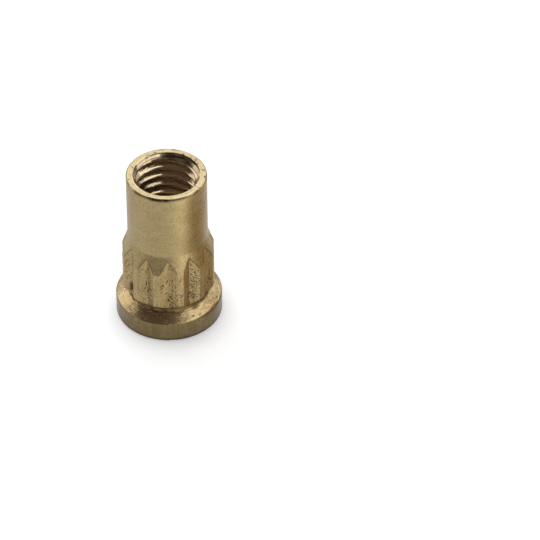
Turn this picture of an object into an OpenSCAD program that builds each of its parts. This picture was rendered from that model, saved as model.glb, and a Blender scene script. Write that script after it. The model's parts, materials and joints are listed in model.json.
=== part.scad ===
// Sleeve nut: a blind threaded sleeve with a splined collar and a round head, whose
// inner face slopes up to a short neck. One piece of turned brass.
// Z = 0 is the head's outer face, +Z runs to the mouth.
// All sizes are in millimetres.

/* [Overall] */
// Length over all, from the head's face to the mouth
length = 13; // [11:0.5:24]
// Outside diameter of the screw that the nut takes
thread_d = 5; // [4:0.5:8]
// Pitch of that screw
thread_pitch = 0.8; // [0.5:0.05:1.25]

/* [Tube] */
// Metal left outside the thread's full diameter
tube_wall = 0.5; // [0.4:0.05:1.2]
// Rounding of the tube's outer edge at the mouth
mouth_round = 0.12; // [0.05:0.01:0.25]

/* [Splined collar] */
// Height of the collar above the tube
spline_rise = 0.5; // [0.3:0.05:0.9]
// Length of the collar at its full diameter
spline_len = 3.05; // [2:0.05:6]
// Length of the taper from the collar up to the tube
taper_len = 1.5; // [0.8:0.05:3]
// Number of V flutes around the collar
flute_count = 12; // [8:1:16]
// Width of the land left between two flutes
land_w = 0.45; // [0.25:0.05:0.8]
// Height of the flutes' floor above the tube
flute_floor_rise = 0.1; // [0.06:0.01:0.2]
// Turn of the first flute about the axis
flute_turn = 1.5; // [0:0.5:30]

/* [Neck and head] */
// Height of the neck above the tube
neck_rise = 0.05; // [0.02:0.01:0.05]
// Length of the neck between the head and the collar's chamfer
neck_len = 0.3; // [0.2:0.05:1.2]
// Fillet where the neck meets the head
neck_fillet = 0.12; // [0.05:0.01:0.2]
// Height of the head's rim outside the splines
head_lip = 0.5; // [0.3:0.05:1.5]
// Thickness of the head at its rim
head_t = 1.7; // [1.2:0.05:3]
// Rise of the head's sloping inner face, from the rim to the neck
back_rise = 0.45; // [0.2:0.05:0.8]
// Bevel around the head's outer face
face_bevel = 0.12; // [0.1:0.01:0.4]
// Bevel around the rim, where the sloping inner face begins
back_bevel = 0.1; // [0.05:0.01:0.2]

/* [Bore] */
// Solid metal between the drill's point and the head's face
floor_t = 1.9; // [1.2:0.1:3]
// Full angle of the drill's point
drill_angle = 118; // [90:1:135]
// Full angle of the countersink in the mouth
sink_angle = 90; // [60:5:120]

/* [Hidden] */
$fn = 120;

// how far a cut runs on past the metal, and the straight steps in one arc of the profile
overcut = 1;
arc_steps = 6;

tube_r = thread_d / 2 + tube_wall;
spline_r = tube_r + spline_rise;
neck_r = tube_r + neck_rise;
head_r = spline_r + head_lip;
floor_r = tube_r + flute_floor_rise;

// heights of the turned profile, from the head's face upward
neck_z = head_t + back_rise;
chamfer_z = neck_z + neck_len;
collar_z = chamfer_z + (spline_r - neck_r);
taper_z = collar_z + spline_len;
tube_z = taper_z + taper_len;

// slope of the head's inner face, and the height of the centre of the fillet at its top
back_slope = atan(back_rise / (head_r - back_bevel - neck_r));
fillet_z = neck_z + neck_fillet * (1 - sin(back_slope)) / cos(back_slope);

// tapping hole, its drill point and its countersink
core_r = (thread_d - thread_pitch) / 2;
mouth_r = thread_d / 2;
point_h = core_r / tan(drill_angle / 2);
core_z = floor_t + point_h;
sink_h = (mouth_r - core_r) / tan(sink_angle / 2);

// one V flute: its floor runs parallel to the axis, from mid-neck to past the taper,
// and its two flanks pass through the edges of the lands and on past them
land_half = asin(land_w / 2 / spline_r);
flute_half = 180 / flute_count - land_half;
flute_edge_x = spline_r * cos(flute_half);
flute_edge_y = spline_r * sin(flute_half);
flute_reach = 1.25;
flute_z = neck_z + neck_len / 2;
flute_h = tube_z + overcut - flute_z;

// points of an arc about (x, z), from angle a0 to a1
function arc(x, z, r, a0, a1) =
  [for (i = [0 : arc_steps])
    let (a = a0 + (a1 - a0) * i / arc_steps)
      [x + r * cos(a), z + r * sin(a)]];

module profile() {
  polygon(concat(
    [[0, 0], [head_r - face_bevel, 0], [head_r, face_bevel]],
    [[head_r, head_t - back_bevel], [head_r - back_bevel, head_t]],
    arc(neck_r + neck_fillet, fillet_z, neck_fillet, 270 - back_slope, 180),
    [[neck_r, chamfer_z], [spline_r, collar_z], [spline_r, taper_z], [tube_r, tube_z]],
    arc(tube_r - mouth_round, length - mouth_round, mouth_round, 0, 90),
    [[0, length]]
  ));
}

module turned_blank() {
  rotate_extrude()
    profile();
}

module flute() {
  translate([0, 0, flute_z])
    linear_extrude(height = flute_h)
      polygon([
        [floor_r, 0],
        [floor_r + (flute_edge_x - floor_r) * flute_reach, -flute_edge_y * flute_reach],
        [head_r + overcut, -flute_edge_y * flute_reach],
        [head_r + overcut, flute_edge_y * flute_reach],
        [floor_r + (flute_edge_x - floor_r) * flute_reach, flute_edge_y * flute_reach]
      ]);
}

module flutes() {
  for (i = [0 : flute_count - 1])
    rotate([0, 0, flute_turn - 90 + i * 360 / flute_count])
      flute();
}

module tapping_hole() {
  translate([0, 0, core_z])
    cylinder(r = core_r, h = length - core_z + overcut);
  translate([0, 0, floor_t])
    cylinder(r1 = 0, r2 = core_r, h = point_h);
  translate([0, 0, length - sink_h])
    cylinder(r1 = core_r, r2 = mouth_r, h = sink_h);
  translate([0, 0, length])
    cylinder(r = mouth_r, h = overcut);
}

module sleeve_nut() {
  color([0.72, 0.6, 0.34])
    difference() {
      turned_blank();
      flutes();
      tapping_hole();
    }
}

sleeve_nut();
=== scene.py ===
"""A blind brass sleeve nut that stands on its head, with its thread, flutes and tool marks."""
import json
import math

import bmesh
import bpy
import numpy as np
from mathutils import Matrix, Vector, noise


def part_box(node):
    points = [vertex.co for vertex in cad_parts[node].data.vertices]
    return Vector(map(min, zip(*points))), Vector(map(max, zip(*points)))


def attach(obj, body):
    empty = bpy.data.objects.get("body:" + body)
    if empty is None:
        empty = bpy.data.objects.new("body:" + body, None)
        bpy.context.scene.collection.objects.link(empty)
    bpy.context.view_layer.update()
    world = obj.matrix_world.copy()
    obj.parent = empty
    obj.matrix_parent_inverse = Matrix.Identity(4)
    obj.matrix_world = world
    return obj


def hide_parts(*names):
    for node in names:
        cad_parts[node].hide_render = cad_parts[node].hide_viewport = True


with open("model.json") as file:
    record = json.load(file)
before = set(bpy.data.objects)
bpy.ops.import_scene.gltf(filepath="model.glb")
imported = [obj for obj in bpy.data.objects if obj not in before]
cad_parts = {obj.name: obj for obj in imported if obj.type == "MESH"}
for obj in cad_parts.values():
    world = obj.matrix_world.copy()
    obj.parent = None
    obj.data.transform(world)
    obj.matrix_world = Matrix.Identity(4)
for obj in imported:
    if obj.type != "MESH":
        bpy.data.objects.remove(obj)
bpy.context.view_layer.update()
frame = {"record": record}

bl_info = {
    "name": "Sleeve Nut",
    "version": (1, 0, 0),
    "blender": (4, 5, 0),
    "location": "View3D > Sidebar > Sleeve Nut",
    "description": "Builds a turned, fluted and tapped brass sleeve nut and its studio",
    "category": "Object",
}

NODE = "sleeve_nut"
MM = 0.001
BLACK = (0.0, 0.0, 0.0)
WHITE = (1.0, 1.0, 1.0)
LOW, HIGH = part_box(NODE)
MOUNTS = {m["name"]: m for m in frame["record"]["mounts"]}


# ---------------------------------------------------------------- sizes and colours


def length_prop(label, description, default):
    return bpy.props.FloatProperty(
        name=label, description=description, default=default, unit="LENGTH", precision=5)


class NutSizes(bpy.types.PropertyGroup):
    """Sizes of the turned, fluted and tapped piece."""

    length: length_prop("Length", "Height of the mouth above the head's face", HIGH.z)
    head_r: length_prop("Head radius", "Radius of the head's rim", round(HIGH.x, 4))
    head_t: length_prop("Head thickness", "Height of the top of the head's rim", 1.7 * MM)
    back_rise: length_prop("Back rise", "Rise of the inner face, from rim to neck", 0.45 * MM)
    face_bevel: length_prop("Face bevel", "Bevel around the head's outer face", 0.12 * MM)
    back_bevel: length_prop("Back bevel", "Height of the bevel atop the rim", 0.1 * MM)
    back_lean: length_prop("Back lean", "How far that bevel leans inward", 0.035 * MM)
    neck_r: length_prop("Neck radius", "Radius of the neck under the collar", 3.05 * MM)
    neck_len: length_prop("Neck length", "Height of the neck", 0.3 * MM)
    neck_fillet: length_prop("Neck fillet", "Fillet between neck and head", 0.12 * MM)
    collar_r: length_prop("Collar radius", "Radius of the lands between flutes", 3.5 * MM)
    collar_len: length_prop("Collar length", "Length of the lands", 3.05 * MM)
    taper_len: length_prop("Taper length", "Length of the shoulder above the lands", 1.5 * MM)
    floor_r: length_prop("Flute floor", "Radius of the bottom of each flute", 3.1 * MM)
    land_w: length_prop("Land width", "Width of the land between two flutes", 0.45 * MM)
    flutes: bpy.props.IntProperty(
        name="Flutes", description="Number of V flutes around the collar", default=12)
    flute_turn: bpy.props.FloatProperty(
        name="First flute", description="Turn of the first flute from the -Y side",
        default=math.radians(1.5), subtype="ANGLE")
    tube_r: length_prop("Tube radius", "Outside radius of the plain tube",
                        MOUNTS["sleeve"]["dims"]["r_mm"] * MM)
    mouth_round: length_prop("Mouth rounding", "Rounding of the tube's outer edge", 0.12 * MM)
    core_r: length_prop("Core radius", "Radius of the bore at the thread's crests",
                        MOUNTS["thread"]["dims"]["r_mm"] * MM)
    thread_r: length_prop("Thread radius", "Radius of the bore at the thread's roots", 2.5 * MM)
    pitch: length_prop("Pitch", "Rise of the thread in one turn", 0.8 * MM)
    crest_z: length_prop("Thread start", "Height of a crest on the +X side", 11.62 * MM)
    crest_w: length_prop("Crest width", "Flat left on the thread's crest", 0.08 * MM)
    thread_end: length_prop("Thread end", "Height where the thread runs out", 4.4 * MM)
    point_z: length_prop("Drill point", "Height of the drill's point above the face", 1.9 * MM)


class NutColours(bpy.types.PropertyGroup):
    """Colours of the metal."""

    brass: bpy.props.FloatVectorProperty(
        name="Brass", description="Bare turned brass", subtype="COLOR", size=3,
        default=(0.485, 0.377, 0.192))
    # pit is also the colour that the painted shade at the rim's foot and the mouth's outer edge
    # darkens to
    pit: bpy.props.FloatVectorProperty(
        name="Pits", description="Torn metal and dirt in the pits", subtype="COLOR", size=3,
        default=(0.062, 0.04, 0.027))


# ---------------------------------------------------------------- small sums


def clamp(value):
    """The value, held between 0 and 1."""
    return max(0.0, min(1.0, value))


def blunt_max(a, b, k):
    """The larger of two lengths, rounded over where they are within k of each other."""
    h = clamp(0.5 + (b - a) / (2 * k))
    return a * (1 - h) + b * h + k * h * (1 - h)


def side_of(angle):
    """The side that an angle from +X faces, in degrees from -Y towards +X."""
    return math.degrees(angle) + 90


def degrees_past(side, other):
    """How far one side is past another, from -180 to 180 degrees."""
    return (side - other + 180) % 360 - 180


def bumps(p, scale, seed):
    """Smooth noise from -1 to 1 at a point in millimetres."""
    return noise.noise(Vector(p) * scale + Vector((seed, seed * 1.7, -seed)))


# ---------------------------------------------------------------- section of the nut


def corner_arc(before, here, after, radius, steps):
    """Points of the arc that rounds one corner of an outline."""
    a = (before - here).normalized()
    b = (after - here).normalized()
    half = a.angle(b) / 2
    cut = min(radius / math.tan(half), 0.45 * (before - here).length,
              0.45 * (after - here).length)
    centre = here + (a + b).normalized() * (cut / math.cos(half))
    start = here + a * cut - centre
    turn = math.pi - 2 * half
    if start.x * (b * cut - a * cut).y - start.y * (b * cut - a * cut).x < 0:
        turn = -turn
    out = []
    for i in range(steps + 1):
        c, s = math.cos(turn * i / steps), math.sin(turn * i / steps)
        out.append(centre + Vector((start.x * c - start.y * s, start.x * s + start.y * c)))
    return out


# From the thread's full radius out to the inner edge of the flat ring round the mouth
MOUTH_STEP = 0.04 * MM


def section(s, flute_r):
    """Rows (point, zone) from the middle of the face up to the mouth's inner edge, on a side
    where the flutes leave the collar the radius flute_r."""
    neck_z = s.head_t + s.back_rise
    chamfer_z = neck_z + s.neck_len
    taper_z = chamfer_z + s.collar_r - s.neck_r + s.collar_len
    tube_z = taper_z + s.taper_len
    slope = s.taper_len / (s.collar_r - s.tube_r)
    low_z = chamfer_z + flute_r - s.neck_r
    high_z = taper_z + (s.collar_r - flute_r) * slope
    corners = [
        # radius, height, rounding, its steps, rows to the next corner, zone up to there
        (0, 0, 0, 0, 8, "face"),
        (s.head_r - s.face_bevel, 0, 0.05 * MM, 2, 2, "rim"),
        (s.head_r, s.face_bevel, 0.06 * MM, 2, 14, "rim"),
        (s.head_r, s.head_t - s.back_bevel, 0.05 * MM, 2, 1, "rim"),
        (s.head_r - s.back_lean, s.head_t, 0.04 * MM, 2, 13, "ring"),
        (s.neck_r, neck_z, s.neck_fillet, 3, 3, "neck"),
        (s.neck_r, chamfer_z, 0.03 * MM, 2, 5, "chamfer"),
        (flute_r, low_z, 0.02 * MM, 2, 24, "collar"),
        (flute_r, high_z, 0.05 * MM, 2, 9, "taper"),
        (s.tube_r, tube_z, 0.5 * MM, 4, 40, "tube"),
        (s.tube_r, s.length, s.mouth_round, 5, 6, "mouth"),
        (s.thread_r + MOUTH_STEP, s.length, 0, 0, 0, "mouth"),
    ]
    points = [Vector(c[:2]) for c in corners]
    rows = []
    for i, (point, corner) in enumerate(zip(points, corners)):
        rounding, steps, to_next, zone = corner[2:]
        arc = [point]
        if steps:
            arc = corner_arc(points[i - 1], point, points[i + 1], rounding, steps)
        if rows:
            start, last_zone = rows[-1]
            rows += [(start.lerp(arc[0], k / pieces), last_zone) for k in range(1, pieces)]
        rows += [(p, zone) for p in arc]
        pieces = to_next
    return rows


# Where the mesh's columns lie across half a flute, as shares of its half width. The last two
# are on the land.
FLUTE_COLUMNS = (0.05, 0.12, 0.27, 0.44, 0.61, 0.78, 0.92, 0.98, 1.02, 1.08)
# Half the turn over which a flute's floor is rounded, in radians, and how fast that rounding
# fades with each radian beside it
FLOOR_BLUNT = 0.012
FLOOR_FADE = 40
# Rounding of the edge between flute and land
LAND_BLUNT = 0.012 * MM


def flute_columns(s):
    """Angles round the axis, and the radius that the flutes leave the collar at each."""
    step = 2 * math.pi / s.flutes
    half = step / 2 - math.asin(s.land_w / 2 / s.collar_r)
    edge = Vector((math.cos(half), math.sin(half))) * s.collar_r
    flank = edge - Vector((s.floor_r, 0))
    side = [half * f for f in FLUTE_COLUMNS]
    local = [-step / 2] + [-t for t in reversed(side)] + [0] + side
    angles, radii = [], []
    for i in range(s.flutes):
        for t in local:
            soft = math.hypot(t, FLOOR_BLUNT) - FLOOR_BLUNT * math.exp(-abs(t) * FLOOR_FADE)
            r = s.floor_r * flank.y / (flank.y * math.cos(soft) - flank.x * math.sin(soft))
            angles.append(s.flute_turn - math.pi / 2 + i * step + t)
            radii.append(-blunt_max(-s.collar_r, -r, LAND_BLUNT))
    return angles, radii


# ---------------------------------------------------------------- worn and cut surfaces


# Nicks, pits and scratches: the zone that each is in, its angle from -Y towards +X in degrees,
# its height (on the ring and the mouth, its radius), its width, its length and its depth in mm.
MARKS = (
    ("mouth", -14, 3.0, 1.7, 0.26, 0.05),
    ("mouth", 0, 2.98, 0.6, 0.22, 0.04),
    ("mouth", 84, 2.85, 0.3, 0.2, 0.03),
    ("mouth", 152, 2.56, 0.25, 0.14, 0.06),
    ("mouth", 136, 2.54, 0.35, 0.16, 0.06),
    ("mouth", 118, 2.56, 0.2, 0.2, 0.06),
    ("mouth", 200, 2.58, 0.2, 0.12, 0.05),
    ("mouth", -120, 2.96, 0.4, 0.15, 0.03),
    ("tube", -25, 11.5, 0.14, 0.14, 0.01),
    ("tube", 13, 9.85, 0.14, 0.12, 0.01),
    ("collar", -61, 3.3, 0.42, 1.2, 0.12),
    ("collar", -62.5, 3.0, 0.2, 0.5, 0.1),
    ("collar", -66, 4.7, 0.12, 0.2, 0.03),
    ("collar", -70, 4.1, 0.16, 0.14, 0.03),
    ("collar", -63, 5.3, 0.12, 0.3, 0.03),
    ("collar", -77, 4.8, 0.2, 0.3, 0.03),
    ("collar", -65, 4.2, 0.12, 0.2, 0.03),
    ("collar", -79, 3.7, 0.2, 0.4, 0.03),
    ("collar", -30, 4.75, 0.1, 0.6, 0.03),
    ("collar", -32, 4.2, 0.12, 0.4, 0.04),
    ("collar", 28.5, 3.45, 0.16, 0.5, 0.08),
    ("collar", 33.5, 3.35, 0.16, 0.4, 0.08),
    ("collar", 31, 3.68, 0.34, 0.14, 0.06),
    ("collar", 3.5, 3.65, 0.24, 0.3, 0.05),
    ("collar", 1, 3.3, 0.14, 0.3, 0.04),
    ("collar", 120, 4.6, 0.2, 0.5, 0.06),
    ("collar", 200, 5.1, 0.15, 0.4, 0.05),
    ("rim", -41.6, 0.85, 0.2, 5, 0.04),
    ("rim", 3, 0.85, 0.2, 5, 0.04),
    ("rim", 6, 0.85, 0.16, 5, 0.03),
    ("rim", 150, 0.85, 0.2, 5, 0.04),
    ("ring", -53, 3.88, 0.16, 0.12, 0.03),
    ("ring", -48, 3.76, 0.3, 0.1, 0.03),
    ("ring", 30, 3.7, 0.25, 0.1, 0.03),
    ("ring", 39, 3.84, 0.3, 0.08, 0.03),
    ("ring", 18, 3.86, 0.3, 0.08, 0.02),
    ("ring", 74, 3.8, 0.4, 0.12, 0.03),
    ("ring", 160, 3.6, 0.3, 0.1, 0.03),
)


# How steeply a mark deepens from its edge: the higher, the sooner it is at its full depth
MARK_EDGE = 1.6


def marks(angle, r, z, zone):
    """Depth in millimetres, and share of dirt, that the marks leave at a point."""
    depth = dirt = 0.0
    along = r if zone in ("ring", "mouth") else z
    for mark_zone, side, place, width, length, deep in MARKS:
        if mark_zone == zone:
            away = math.radians(degrees_past(side_of(angle), side)) * r
            off = math.hypot(away * 2 / width, (along - place) * 2 / length)
            full = clamp(MARK_EDGE * (1 - off))
            depth = max(depth, deep * full)
            dirt = max(dirt, full)
    return depth, dirt


# Radius, in mm, at which the mouth's rounded outer edge begins
EDGE_R = 2.9
# Ripples that the cutter left in each zone: their height in mm, how many to a mm, and a seed.
# "flute" is the part of the collar that a flute cuts.
RIPPLES = {
    "mouth": ((0.004, 7.0, 12),),
    "chamfer": ((0.012, 9.0, 22),),
    "collar": ((0.004, 6.0, 31),),
    "flute": ((0.004, 6.0, 31), (0.006, 9.0, 32)),
    "neck": ((0.004, 6.0, 41),),
    "ring": ((0.008, 3.0, 43), (0.004, 8.0, 44)),
}


def wear(angle, point, zone, cut):
    """How far the surface stands out from its true form, in millimetres, and its dirt and
    painted shade. point is the radius and the height, and cut is true where a flute cuts the
    collar."""
    r, z = point.x / MM, point.y / MM
    p = (r * math.cos(angle), r * math.sin(angle), z)
    depth, dirt = marks(angle, r, z, zone)
    slow_wave = 0.0015 * bumps(p, 2.0, 3)
    out = slow_wave - depth
    ripples = RIPPLES.get("flute" if cut and zone == "collar" else zone, ())
    out += sum(height * bumps(p, fineness, seed) for height, fineness, seed in ripples)
    if zone == "mouth":
        ragged = max(0.0, bumps(p, 3.1, 11) - 0.2)
        out -= 0.03 * ragged
        dirt = max(dirt, 1.5 * ragged - 0.1)
        if r > EDGE_R:
            # painted shade: the rounded outer edge darkens towards the sides and the back, over
            # random dirt
            dirt = max(dirt, 0.5 * max(abs(p[0]), p[1]) / r + 0.7 * bumps(p, 1.3, 13))
    elif zone == "chamfer":
        burrs = max(0.0, bumps(p, 3.5, 21) + 0.05)
        out += 0.05 * burrs
        dirt = max(dirt, 0.3 + bumps(p, 5.0, 23))
    elif zone == "neck":
        dirt = max(dirt, 0.3 + 0.6 * bumps(p, 3.0, 42))
    elif zone == "rim":
        out += 0.002 * bumps((p[0], p[1], z * 0.3), 4.0, 51)
        # the patches are random dirt; the rest is painted shade: the rim darkens towards the
        # floor, fully within 0.17 mm of it and gone by 0.37 mm, and faintly up its whole height
        patches = 0.4 * bumps((p[0], p[1], z * 0.4), 1.6, 52)
        painted_contact_shade = 1.85 - 5 * z
        dirt = max(0.15 * dirt, painted_contact_shade, 0.35 - 0.2 * z, patches)
    return out, clamp(dirt)


# Middle and reach of the torn flank of each flute, as shares of half the turn between flutes
TORN_MIDDLE = 0.3
TORN_REACH = 0.45


def torn_share(s, angle):
    """How far the cutter tore the metal: most on one flank of each flute, from 1 to -1."""
    step = 2 * math.pi / s.flutes
    past = (angle - s.flute_turn + math.pi / 2 + step / 2) % step - step / 2
    return 1 - 2 * min(1.0, abs(past / (step / 2) - TORN_MIDDLE) / TORN_REACH)


# Where a flute cuts less than this into the collar, it counts as land
LEAST_CUT = 0.01 * MM
# Rows of the taper, above each flute's end, that a line of dirt darkens, and how dark it is
LINE_ROWS = 4
LINE_DIRT = 0.45


def outer_grid(s, angles, radii):
    """Points of the outside and their dirt and painted shade, one list of rows for each column,
    and each row's zone."""
    grid, dirt = [], []
    for angle, flute_r in zip(angles, radii):
        rows = section(s, flute_r)
        zones = [zone for _, zone in rows]
        cut = flute_r < s.collar_r - LEAST_CUT
        column, column_dirt_and_shade = [], []
        last = len(rows) - 1
        for i, (point, zone) in enumerate(rows):
            along = rows[min(i + 1, last)][0] - rows[max(i - 1, 0)][0]
            across = Vector((along.y, -along.x)).normalized()
            out, soil_and_shade = wear(angle, point, zone, cut)
            if 0 < i < last:
                point = point + across * (out * MM)
            if cut and zone == "taper" and zones[i - LINE_ROWS] == "collar":
                soil_and_shade = max(soil_and_shade, LINE_DIRT)
            column.append((point.x * math.cos(angle), point.x * math.sin(angle), point.y))
            column_dirt_and_shade.append(soil_and_shade)
        grid.append(column)
        dirt.append(column_dirt_and_shade)
    return np.array(grid), np.array(dirt), zones


# Rows of the bore's mesh in one turn of the thread, as shares of the pitch past a crest
THREAD_ROWS = (-0.16, -0.13, -0.10, -0.06, 0.0, 0.06, 0.10, 0.13, 0.16, 0.21,
               0.28, 0.35, 0.40, 0.43, 0.5, 0.57, 0.60, 0.65, 0.72, 0.79)
THREAD_ANGLE = math.radians(60)
DRILL_ANGLE = math.radians(118)
# Rounding of the thread's crests, of its roots, and of its meeting with the countersink
CREST_BLUNT = 0.12 * MM
ROOT_BLUNT = 0.03 * MM
SINK_BLUNT = 0.05 * MM
# Turns over which the thread deepens from nothing to its full depth
RUN_IN = 1.5


def thread_radius(s, angle, z):
    """Radius of the tapped wall at an angle and a height, countersink included."""
    turn = (z - s.crest_z) / s.pitch - angle / (2 * math.pi)
    off_crest = abs(turn - round(turn)) * s.pitch
    flank = s.core_r + (off_crest - s.crest_w / 2) / math.tan(THREAD_ANGLE / 2)
    wall = blunt_max(s.core_r, flank, CREST_BLUNT)
    wall = -blunt_max(-wall, -s.thread_r, ROOT_BLUNT)
    wall = s.core_r + (wall - s.core_r) * clamp((z - s.thread_end) / (RUN_IN * s.pitch))
    return blunt_max(wall, s.thread_r - (s.length - z), SINK_BLUNT)


# The side where dirt lies thick under the mouth, how far it reaches to each side of that and
# how softly it ends, in degrees
SOIL_SIDE = 156
SOIL_REACH = 36
SOIL_FADE = 5
# Depth below the mouth that it reaches, in mm, and how sharply it ends there
SOIL_DEPTH = 0.5
SOIL_EDGE = 6


def bore_soil(angle, below, p):
    """Dirt on the tapped wall, at a depth below the mouth in millimetres."""
    away = abs(degrees_past(side_of(angle), SOIL_SIDE))
    thick = clamp((SOIL_REACH - away) / SOIL_FADE) * clamp((SOIL_DEPTH - below) * SOIL_EDGE)
    streaks = 0.6 + 1.2 * bumps((p[0] * 0.5, p[1] * 0.5, p[2] * 2.2), 3.5, 63)
    flecks = max(0.0, 1.6 * bumps(p, 5.0, 65) - 0.35) * max(0.0, 1 - below)
    return clamp(thick * streaks + flecks)


def bore_grid(s, angles):
    """Points of the bore from its floor to its mouth, their dirt, and the rows in one turn.
    The rows climb with the thread."""
    low = s.point_z + s.core_r / math.tan(DRILL_ANGLE / 2)
    first = angles[0]
    start = s.crest_z + s.pitch * first / (2 * math.pi)
    start -= s.pitch * math.ceil((start - low) / s.pitch + 1)
    turns = math.ceil((s.length - start) / s.pitch)
    per_turn = len(THREAD_ROWS)
    grid, dirt = [], []
    for angle in angles:
        climb = s.pitch * (angle - first) / (2 * math.pi)
        column, column_dirt_and_shade = [], []
        for j in range(turns * per_turn + 1):
            z = start + climb + s.pitch * (j // per_turn + THREAD_ROWS[j % per_turn])
            z = max(low, min(s.length, z))
            r = thread_radius(s, angle, z)
            p = (r * math.cos(angle) / MM, r * math.sin(angle) / MM, z / MM)
            if low < z < s.length:
                r += MM * (0.006 * bumps(p, 4.0, 61) + 0.004 * bumps(p, 11.0, 62))
            column.append((r * math.cos(angle), r * math.sin(angle), z))
            column_dirt_and_shade.append(bore_soil(angle, (s.length - z) / MM, p))
        grid.append(column)
        dirt.append(column_dirt_and_shade)
    return np.array(grid), np.array(dirt), per_turn


# ---------------------------------------------------------------- mesh


ZONE_FINISH = {"face": "faced", "rim": "rim", "ring": "sloped", "neck": "torn",
               "chamfer": "torn", "collar": "fluted", "taper": "turned", "tube": "turned",
               "mouth": "faced"}


def nut_mesh(s):
    """The whole piece as one closed mesh: the face's middle, the drill's point, the outside,
    then the bore, which has one column for every two of the outside."""
    angles, radii = flute_columns(s)
    outer, dirt, zones = outer_grid(s, angles, radii)
    inner, inner_dirt, per_turn = bore_grid(s, angles[::2])
    columns, rows = outer.shape[:2]
    inner_columns, inner_rows = inner.shape[:2]
    verts = [(0, 0, 0), (0, 0, s.point_z)]
    verts += [tuple(p) for p in outer[:, 1:].reshape(-1, 3)]
    base = len(verts)
    verts += [tuple(p) for p in inner.reshape(-1, 3)]

    def out_v(column, row):
        return 2 + (column % columns) * (rows - 1) + row - 1

    def in_v(column, row):
        if column == inner_columns:
            # round at the first column again, where the rows have climbed one turn
            column, row = 0, min(row + per_turn, inner_rows - 1)
        return base + column * inner_rows + row

    faces, finish = [], []
    for c in range(columns):
        faces.append((0, out_v(c + 1, 1), out_v(c, 1)))
        finish.append("faced")
        for r in range(1, rows - 1):
            faces.append((out_v(c, r), out_v(c + 1, r), out_v(c + 1, r + 1), out_v(c, r + 1)))
            finish.append(ZONE_FINISH[zones[r]])
    for c in range(inner_columns):
        for r in range(inner_rows - 1):
            faces.append((in_v(c, r), in_v(c, r + 1), in_v(c + 1, r + 1), in_v(c + 1, r)))
            finish.append("tapped")
        faces.append((1, in_v(c, 0), in_v(c + 1, 0)))
        finish.append("tapped")
        top, end = inner_rows - 1, rows - 1
        here, there = in_v(c, top), in_v(c + 1, top)
        a, b, d = out_v(2 * c, end), out_v(2 * c + 1, end), out_v(2 * c + 2, end)
        faces += [(a, b, here), (b, d, there), (b, there, here)]
        finish += ["faced"] * 3
    mesh = bpy.data.meshes.new(NODE)
    mesh.from_pydata(verts, [], faces)
    slots = list(CUTS)
    mesh.polygons.foreach_set("material_index", [slots.index(f) for f in finish])
    soil_and_shade = np.zeros(len(verts), dtype=np.float32)
    soil_and_shade[2:base] = dirt[:, 1:].ravel()
    soil_and_shade[base:] = inner_dirt.ravel()
    torn = np.zeros(len(verts), dtype=np.float32)
    torn[2:base] = np.repeat([torn_share(s, a) for a in angles], rows - 1)
    for name, values in (("dirt", soil_and_shade), ("torn", torn)):
        mesh.attributes.new(name, "FLOAT", "POINT").data.foreach_set("value", values)
    return mesh


# ---------------------------------------------------------------- materials


class Socket:
    """A node's output that can stand in a sum."""

    def __init__(self, graph, output):
        self.graph = graph
        self.output = output

    def __add__(self, other):
        return self.graph.maths("ADD", self, other)

    def __sub__(self, other):
        return self.graph.maths("SUBTRACT", self, other)

    def __rsub__(self, other):
        return self.graph.maths("SUBTRACT", other, self)

    def __mul__(self, other):
        return self.graph.maths("MULTIPLY", self, other)

    def __pow__(self, other):
        return self.graph.maths("POWER", self, other)

    def __rpow__(self, other):
        return self.graph.maths("POWER", other, self)

    __radd__ = __add__
    __rmul__ = __mul__


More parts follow.
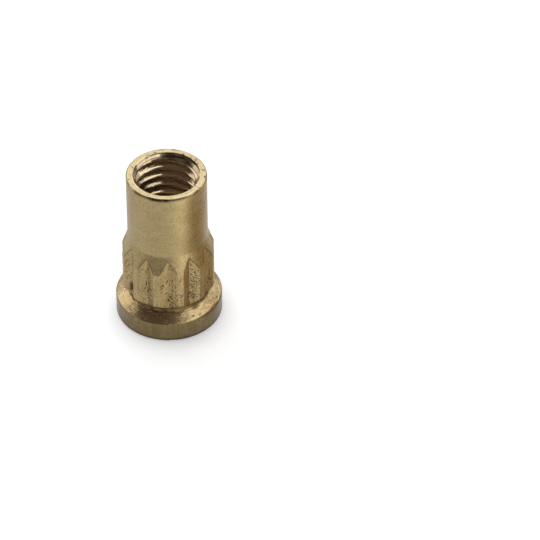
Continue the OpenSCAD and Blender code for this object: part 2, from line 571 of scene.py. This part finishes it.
class Graph:
    """The node tree of one material, or of the world."""

    def __init__(self, owner):
        owner.use_nodes = True
        self.tree = owner.node_tree
        self.tree.nodes.clear()

    def add(self, kind, settings=None, inputs=(), output=0):
        """A new node of a kind, its settings made first, then what each input holds or is
        linked to. Gives back one of its outputs."""
        node = self.tree.nodes.new(kind)
        for key, value in (settings or {}).items():
            if key == "stops":
                ramp = node.color_ramp
                while len(ramp.elements) < len(value):
                    ramp.elements.new(0.5)
                for element, (place, shade) in zip(ramp.elements, value):
                    element.position = place
                    element.color = (shade, shade, shade, 1)
            else:
                setattr(node, key, value)
        pairs = inputs.items() if isinstance(inputs, dict) else enumerate(inputs)
        for key, value in pairs:
            if isinstance(value, Socket):
                self.tree.links.new(value.output, node.inputs[key])
            else:
                node.inputs[key].default_value = value
        return Socket(self, node.outputs[output]) if node.outputs else None

    def place_mm(self):
        """Place on the object, in millimetres, and its X, Y and Z."""
        place = self.add("ShaderNodeTexCoord", output="Object")
        scaled = self.add("ShaderNodeVectorMath", {"operation": "MULTIPLY"},
                          (place, (1 / MM, 1 / MM, 1 / MM)))
        return scaled, [self.add("ShaderNodeSeparateXYZ", None, (scaled,), k) for k in range(3)]

    def maths(self, operation, *values):
        return self.add("ShaderNodeMath", {"operation": operation}, values)

    def mesh_value(self, name):
        """A number that the mesh holds at each point."""
        return self.add("ShaderNodeAttribute", {"attribute_name": name}, output="Fac")

    def vector(self, x, y, z):
        return self.add("ShaderNodeCombineXYZ", None, (x, y, z))

    def clouds(self, place, scale, detail, roughness):
        """Noise from 0 to 1 at a place, the finer the larger its scale."""
        return self.add("ShaderNodeTexNoise", None, {
            "Vector": place, "Scale": scale, "Detail": detail, "Roughness": roughness})

    def clamp(self, value):
        """The value, held between 0 and 1."""
        return self.add("ShaderNodeClamp", None, (value,))

    def steps(self, value, *stops):
        """A value drawn through stops, each a place from 0 to 1 and what it gives there."""
        return self.add("ShaderNodeValToRGB", {"stops": stops}, (value,))

    def blend(self, share, first, second):
        """A colour between two: the first where share is 0, the second where it is 1."""
        first, second = (c if isinstance(c, Socket) else (*c, 1) for c in (first, second))
        return self.add("ShaderNodeMix", {"data_type": "RGBA"}, {0: share, 6: first, 7: second},
                        output=2)

    def finish(self, shader):
        self.add("ShaderNodeOutputMaterial", None, (shader,))


# How fine the tool marks of each way are across the nut, along its axis and outward from it
WAYS = {"round": (0.5, 11.0, 0.0), "ribbed": (0.3, 6.5, 0.0), "spiral": (0.35, 0.0, 9.0),
        "down": (7.0, 0.6, 0.0)}
# How each part of the metal was cut. tint multiplies the brass: on the rim its darkening is
# painted shade, on the tapped metal its lightening is painted light, and on the faced metal its
# lightening is partly the faced finish's own colour and partly painted highlight. lines is the
# way, the depth and the contrast of the tool marks. grain is its fineness, its depth and its
# contrast. pits is their fineness, their depth, the share of the metal that they take, and how
# far that follows the torn flanks. rough is the roughness, and metal is how metallic the
# surface is.
CUTS = {
    "turned": dict(tint=(1.0, 1.0, 1.0), lines=("round", 0.8, 0.6), grain=(11.0, 2.4, 2.2),
                   pits=(6.0, 1.5, 0.27, 0.0), rough=0.30),
    "fluted": dict(tint=(1.12, 1.1, 1.08), lines=("down", 1.5, 1.5), grain=(9.0, 2.2, 1.5),
                   pits=(8.5, 4.0, 0.435, 0.03), rough=0.36),
    "torn": dict(tint=(0.85, 0.8, 0.8), lines=("round", 1.2, 1.0), grain=(7.0, 2.5, 1.2),
                 pits=(7.0, 3.0, 0.38, 0.0), rough=0.38),
    # partly painted highlight: the faced brass is lighter and whiter than the turned, partly
    # its own finish and partly the whitened highlight on the mouth's ring
    "faced": dict(tint=(1.07, 1.14, 1.3), lines=("spiral", 2.0, 1.4), grain=(8.0, 1.8, 1.2),
                  pits=(8.0, 3.0, 0.36, 0.0), rough=0.26),
    "sloped": dict(tint=(1.01, 1.01, 1.08), lines=("spiral", 0.7, 1.3), grain=(7.0, 0.45, 0.9),
                   pits=(8.0, 2.5, 0.35, 0.0), rough=0.26),
    # painted shade: the rim's brass is darkened to about half, standing in for the shaded floor
    # by the head that the rim reflects
    "rim": dict(tint=(0.56, 0.545, 0.54), lines=("down", 0.5, 1.0), grain=(3.0, 0.6, 1.3),
                pits=(6.0, 1.5, 0.27, 0.0), rough=0.26),
    # painted light: the tapped brass is lighter and whiter than the rest, to lift the shaded
    # bore and whiten its highlights
    "tapped": dict(tint=(1.24, 1.27, 1.66), lines=("ribbed", 2.4, 2.4), grain=(9.0, 0.4, 0.6),
                   pits=(6.0, 1.0, 0.24, 0.0), rough=0.10, metal=0.85,
                   grooves=(0.07, 0.23, 0.4, 0.58)),
}
# The lightest brass, as a share of its own colour, and the dullest, as shares of the red, green
# and blue of the lightest
LIGHTEST = 1.14
DULLEST = (0.70, 0.67, 0.60)
# Length that a height of 1 stands for in the bump
BUMP = 0.01 * MM
# Rise of the noise from a pit's edge to where it is full
PIT_EDGE = 0.08


def brass_material(name, colours, tint, lines, grain, pits, rough, metal=1.0, grooves=()):
    """Bare brass that was cut in one of the ways of CUTS. grooves are the depths below the
    mouth, in millimetres, of thin dark grooves."""
    way, line_depth, line_contrast = lines
    grain_fineness, grain_depth, grain_contrast = grain
    pit_fineness, pit_depth, pit_share, pit_torn = pits
    material = bpy.data.materials.new("brass_" + name)
    g = Graph(material)
    place, (x, y, z) = g.place_mm()
    across, along, outward = WAYS[way]
    rise = (x * x + y * y) ** 0.5 * outward if outward else z * along
    streak = g.clouds(g.vector(x * across, y * across, rise), 1.0, 3.0, 0.6)
    grit = g.clouds(place, grain_fineness, 4.0, 0.65)
    patch = g.clouds(place, 0.9, 3.0, 0.55)
    # pits gather in patches, and on the torn flanks
    holes = g.clouds(place, pit_fineness, 3.0, 0.55) + (patch - 0.5) * 0.35
    if pit_torn:
        holes = holes + g.mesh_value("torn") * pit_torn
    holes = g.steps(holes, (1.0 - pit_share, 0.0), (1.0 - pit_share + PIT_EDGE, 1.0))
    # the mesh's dirt map also holds painted shade at the rim's foot and at the sides and back
    # of the mouth's outer edge
    soil_and_shade = g.clamp(g.mesh_value("dirt") * (grit + 0.5))
    for below in grooves:
        # darkest within 0.007 mm of that depth, and gone 0.04 mm from it
        away = g.maths("ABSOLUTE", z - HIGH.z / MM + below)
        soil_and_shade = soil_and_shade + g.clamp(1.2 - away * 30.0) * (grit + 0.1)
    height = streak * line_depth + grit * grain_depth - holes * pit_depth
    normal = g.add("ShaderNodeBump", None, {
        "Strength": 1.0, "Distance": BUMP, "Height": height})
    light = [c * t * LIGHTEST for c, t in zip(colours.brass, tint)]
    dull = [c * k for c, k in zip(light, DULLEST)]
    tone = ((patch - 0.5) * 0.7 + (streak - 0.5) * line_contrast
            + (grit - 0.5) * grain_contrast + 0.5)
    bare = g.blend(g.steps(tone, (0.25, 0.0), (0.75, 1.0)), dull, light)
    colour = g.blend(g.clamp(holes * 0.75 + soil_and_shade), bare, colours.pit)
    roughness = rough + (grit - 0.5) * 0.2 + (streak - 0.5) * 0.12 + (holes + soil_and_shade) * 0.2
    g.finish(g.add("ShaderNodeBsdfPrincipled", None, {
        "Base Color": colour, "Metallic": metal, "Roughness": roughness, "Normal": normal}))
    return material


class OBJECT_OT_sleeve_nut(bpy.types.Operator):
    """Make the sleeve nut in place of its plain solid"""

    bl_idname = "object.sleeve_nut"
    bl_label = "Sleeve Nut"

    def execute(self, context):
        mesh = nut_mesh(context.scene.nut_sizes)
        nut = bpy.data.objects.new("sleeve_nut_cut", mesh)
        context.scene.collection.objects.link(nut)
        for name, cut in CUTS.items():
            mesh.materials.append(brass_material(name, context.scene.nut_colours, **cut))
        weld_and_smooth(mesh)
        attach(nut, "root")
        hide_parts(NODE)
        return {"FINISHED"}


# Points closer than WELD are joined, edges shorter than SPECK go, and edges that turn more
# than SHARP stay sharp
WELD = 0.0005 * MM
SPECK = 0.0002 * MM
SHARP = math.radians(35)


def weld_and_smooth(mesh):
    """Joins points that meet, turns every face outward and smooths all but sharp edges."""
    b = bmesh.new()
    b.from_mesh(mesh)
    bmesh.ops.remove_doubles(b, verts=b.verts, dist=WELD)
    bmesh.ops.dissolve_degenerate(b, dist=SPECK, edges=b.edges)
    bmesh.ops.recalc_face_normals(b, faces=b.faces)
    for face in b.faces:
        face.smooth = True
    b.to_mesh(mesh)
    b.free()
    mesh.set_sharp_from_angle(angle=SHARP)


# ---------------------------------------------------------------- studio


class StudioSettings(bpy.types.PropertyGroup):
    """The camera's place, aim and lens."""

    elevation: bpy.props.FloatProperty(
        name="Elevation", description="Height of the camera above the horizon",
        default=math.radians(41.43), subtype="ANGLE")
    distance: bpy.props.FloatProperty(
        name="Distance", description="From the camera to the point that it looks at",
        default=283.4 * MM, unit="LENGTH")
    lens: bpy.props.FloatProperty(
        name="Lens", description="Focal length of the camera", default=246.5, unit="CAMERA")
    aim_x: length_prop("Aim right", "Aim of the camera, right of the nut's axis", 7.62 * MM)
    aim_y: length_prop("Aim back", "Aim of the camera, behind the nut's axis", 4.07 * MM)


# Lamps: their azimuth (0 towards -Y, 90 towards +X) and elevation in degrees, their width and
# height, their strength, and whether they light the floor or only shine in the metal
SOFTBOXES = {
    "back_softbox": ((182, 42), (2.5, 1.8), 1.6, True),
    "left_softbox": ((-113, 29), (1.75, 1.42), 1.35, True),
    "side_softbox": ((92, 46.5), (2.1, 2.1), 1.6, False),
    "corner_softbox": ((136, 33), (0.75, 1.5), 0.65, False),
}
LAMP_DISTANCE = 2.0
LAMP_AIM = Vector((0, 0, 6 * MM))
# Upright cards that only the metal reflects: their azimuth in degrees and their distance from
# the axis, the height of their lower edge, their width and height in metres, and their colour
CARDS = {
    "front_flag": ((-30, 0.07), 0, (0.08, 0.05), (0.03, 0.028, 0.025)),
    "low_bounce": ((36, 0.010), 0, (0.005, 0.0055), (1.15, 1.15, 1.1)),
    "high_bounce": ((36, 0.010), 0.0055, (0.005, 0.0065), (1.4, 1.4, 1.32)),
    "right_flag": ((79, 0.0075), 0, (0.0085, 0.009), (0.41, 0.32, 0.22)),
    "low_flag": ((77, 0.0052), 0, (0.0048, 0.0024), (0.35, 0.28, 0.22)),
}


def make_softbox(name, direction, size, strength, lights_floor):
    """A rectangular lamp that faces the nut."""
    azimuth, elevation = map(math.radians, direction)
    away = Vector((math.sin(azimuth) * math.cos(elevation),
                   -math.cos(azimuth) * math.cos(elevation), math.sin(elevation)))
    light = bpy.data.lights.new(name, "AREA")
    light.shape = "RECTANGLE"
    light.size, light.size_y = size
    light.energy = strength * size[0] * size[1] * math.pi
    lamp = bpy.data.objects.new(name, light)
    lamp.location = LAMP_AIM + away * LAMP_DISTANCE
    lamp.rotation_euler = away.to_track_quat("Z", "Y").to_euler()
    lamp.visible_diffuse = lights_floor
    bpy.context.scene.collection.objects.link(lamp)


def ray_kinds(g, *names):
    """1 for each kind of light ray that is named, else 0."""
    return [g.add("ShaderNodeLightPath", output="Is %s Ray" % name) for name in names]


class SCENE_OT_nut_studio(bpy.types.Operator):
    """Make the pale floor, the soft lamps and the camera"""

    bl_idname = "scene.nut_studio"
    bl_label = "Studio"

    def execute(self, context):
        scene = context.scene
        studio = scene.nut_studio
        make_floor()
        make_world(scene)
        for name, settings in SOFTBOXES.items():
            make_softbox(name, *settings)
        for name, settings in CARDS.items():
            make_card(name, *settings)
        camera_data = bpy.data.cameras.new("camera")
        camera = bpy.data.objects.new("camera", camera_data)
        scene.collection.objects.link(camera)
        aim = Vector((studio.aim_x, studio.aim_y, LOW.z))
        back = Vector((0, -math.cos(studio.elevation), math.sin(studio.elevation)))
        camera.location = aim + back * studio.distance
        camera.rotation_euler = back.to_track_quat("Z", "Y").to_euler()
        camera_data.lens = studio.lens
        camera_data.sensor_width = 36
        camera_data.clip_start = 0.01
        camera_data.clip_end = 10
        scene.camera = camera
        scene.view_settings.view_transform = "Standard"
        return {"FINISHED"}


def make_card(name, place, lift, size, colour):
    """An upright card that shows only in the metal."""
    azimuth, distance = place
    width, height = size
    turn = math.radians(azimuth)
    out = Vector((math.sin(turn), -math.cos(turn), 0))
    side = Vector((math.cos(turn), math.sin(turn), 0)) * (width / 2)
    foot = out * distance + Vector((0, 0, lift))
    up = Vector((0, 0, height))
    mesh = bpy.data.meshes.new(name)
    mesh.from_pydata([foot - side, foot + side, foot + side + up, foot - side + up], [],
                     [(0, 1, 2, 3)])
    card = bpy.data.objects.new(name, mesh)
    bpy.context.scene.collection.objects.link(card)
    material = bpy.data.materials.new(name)
    g = Graph(material)
    g.finish(g.add("ShaderNodeEmission", None, {"Color": (*colour, 1), "Strength": 1.0}))
    mesh.materials.append(material)
    for ray in ("camera", "diffuse", "shadow", "transmission"):
        setattr(card, "visible_" + ray, False)


# Half the floor's width, and how far it lies under the nut
FLOOR_REACH = 4.0
FLOOR_GAP = 0.01 * MM
# The paper as the camera sees it, and as it throws light back on the nut
PALE = (0.7, 0.7, 0.7)
DIM = (0.2, 0.2, 0.2)
# Its glow to the camera where the sky is shut out, what the open sky adds to that within
# SHADE_REACH of the nut, so that the glow carries a painted contact shadow, and its glow in the
# metal
SHUT_GLOW = 0.21
OPEN_GLOW = 0.3
SHADE_REACH = 2 * MM
METAL_GLOW = 0.57


def make_floor():
    """A pale floor that keeps the nut's shadow, with a painted contact shadow in its glow to
    the camera.
    """
    mesh = bpy.data.meshes.new("floor")
    d, z = FLOOR_REACH, LOW.z - FLOOR_GAP
    mesh.from_pydata([(-d, -d, z), (d, -d, z), (d, d, z), (-d, d, z)], [], [(0, 1, 2, 3)])
    floor = bpy.data.objects.new("floor", mesh)
    bpy.context.scene.collection.objects.link(floor)
    material = bpy.data.materials.new("floor_paper")
    g = Graph(material)
    camera, glossy, through = ray_kinds(g, "Camera", "Glossy", "Transmission")
    open_sky = g.add("ShaderNodeAmbientOcclusion", {"samples": 8}, {"Distance": SHADE_REACH},
                     output="AO")
    glow = camera * (open_sky * OPEN_GLOW + SHUT_GLOW) + (glossy + through) * METAL_GLOW
    g.finish(g.add("ShaderNodeBsdfPrincipled", None, {
        "Base Color": g.blend(camera, DIM, PALE), "Roughness": 1.0, "Specular IOR Level": 0.0,
        "Emission Color": g.blend(glow, BLACK, WHITE), "Emission Strength": 1.0}))
    mesh.materials.append(material)


# The walls' colour, and the even light that the walls and the horizon throw on the floor
WALLS = (0.11, 0.085, 0.08)
EVEN = (0.55, 0.55, 0.55)
# Heights, as sines of the elevation, between which the white horizon gives way to the walls
HORIZON = (0.075, 0.11)


def make_world(scene):
    """A dim, warm room above a white horizon, whose walls light the floor evenly."""
    world = bpy.data.worlds.new("room")
    scene.world = world
    g = Graph(world)
    way = g.add("ShaderNodeTexCoord", output="Generated")
    height = g.add("ShaderNodeSeparateXYZ", None, (way,), 2)
    horizon, walls, even = (
        g.add("ShaderNodeBackground", None, {"Color": (*colour, 1), "Strength": 1.0})
        for colour in (WHITE, WALLS, EVEN))
    above = g.steps(height, (HORIZON[0], 0.0), (HORIZON[1], 1.0))
    room = g.add("ShaderNodeMixShader", None, (above, horizon, walls))
    diffuse, = ray_kinds(g, "Diffuse")
    shader = g.add("ShaderNodeMixShader", None, (diffuse, room, even))
    g.add("ShaderNodeOutputWorld", None, (shader,))


class VIEW3D_PT_sleeve_nut(bpy.types.Panel):
    """Buttons for the nut and its studio"""

    bl_label = "Sleeve Nut"
    bl_space_type = "VIEW_3D"
    bl_region_type = "UI"
    bl_category = "Sleeve Nut"

    def draw(self, context):
        for operator in ("object.sleeve_nut", "scene.nut_studio"):
            self.layout.operator(operator)


CLASSES = (NutSizes, NutColours, StudioSettings, OBJECT_OT_sleeve_nut, SCENE_OT_nut_studio,
           VIEW3D_PT_sleeve_nut)
SETTINGS = {"nut_sizes": NutSizes, "nut_colours": NutColours, "nut_studio": StudioSettings}


def register():
    for cls in CLASSES:
        bpy.utils.register_class(cls)
    for name, group in SETTINGS.items():
        setattr(bpy.types.Scene, name, bpy.props.PointerProperty(type=group))


def unregister():
    for name in SETTINGS:
        delattr(bpy.types.Scene, name)
    for cls in reversed(CLASSES):
        bpy.utils.unregister_class(cls)


def main():
    register()
    bpy.ops.object.sleeve_nut()
    bpy.ops.scene.nut_studio()


if __name__ == "__main__":
    main()
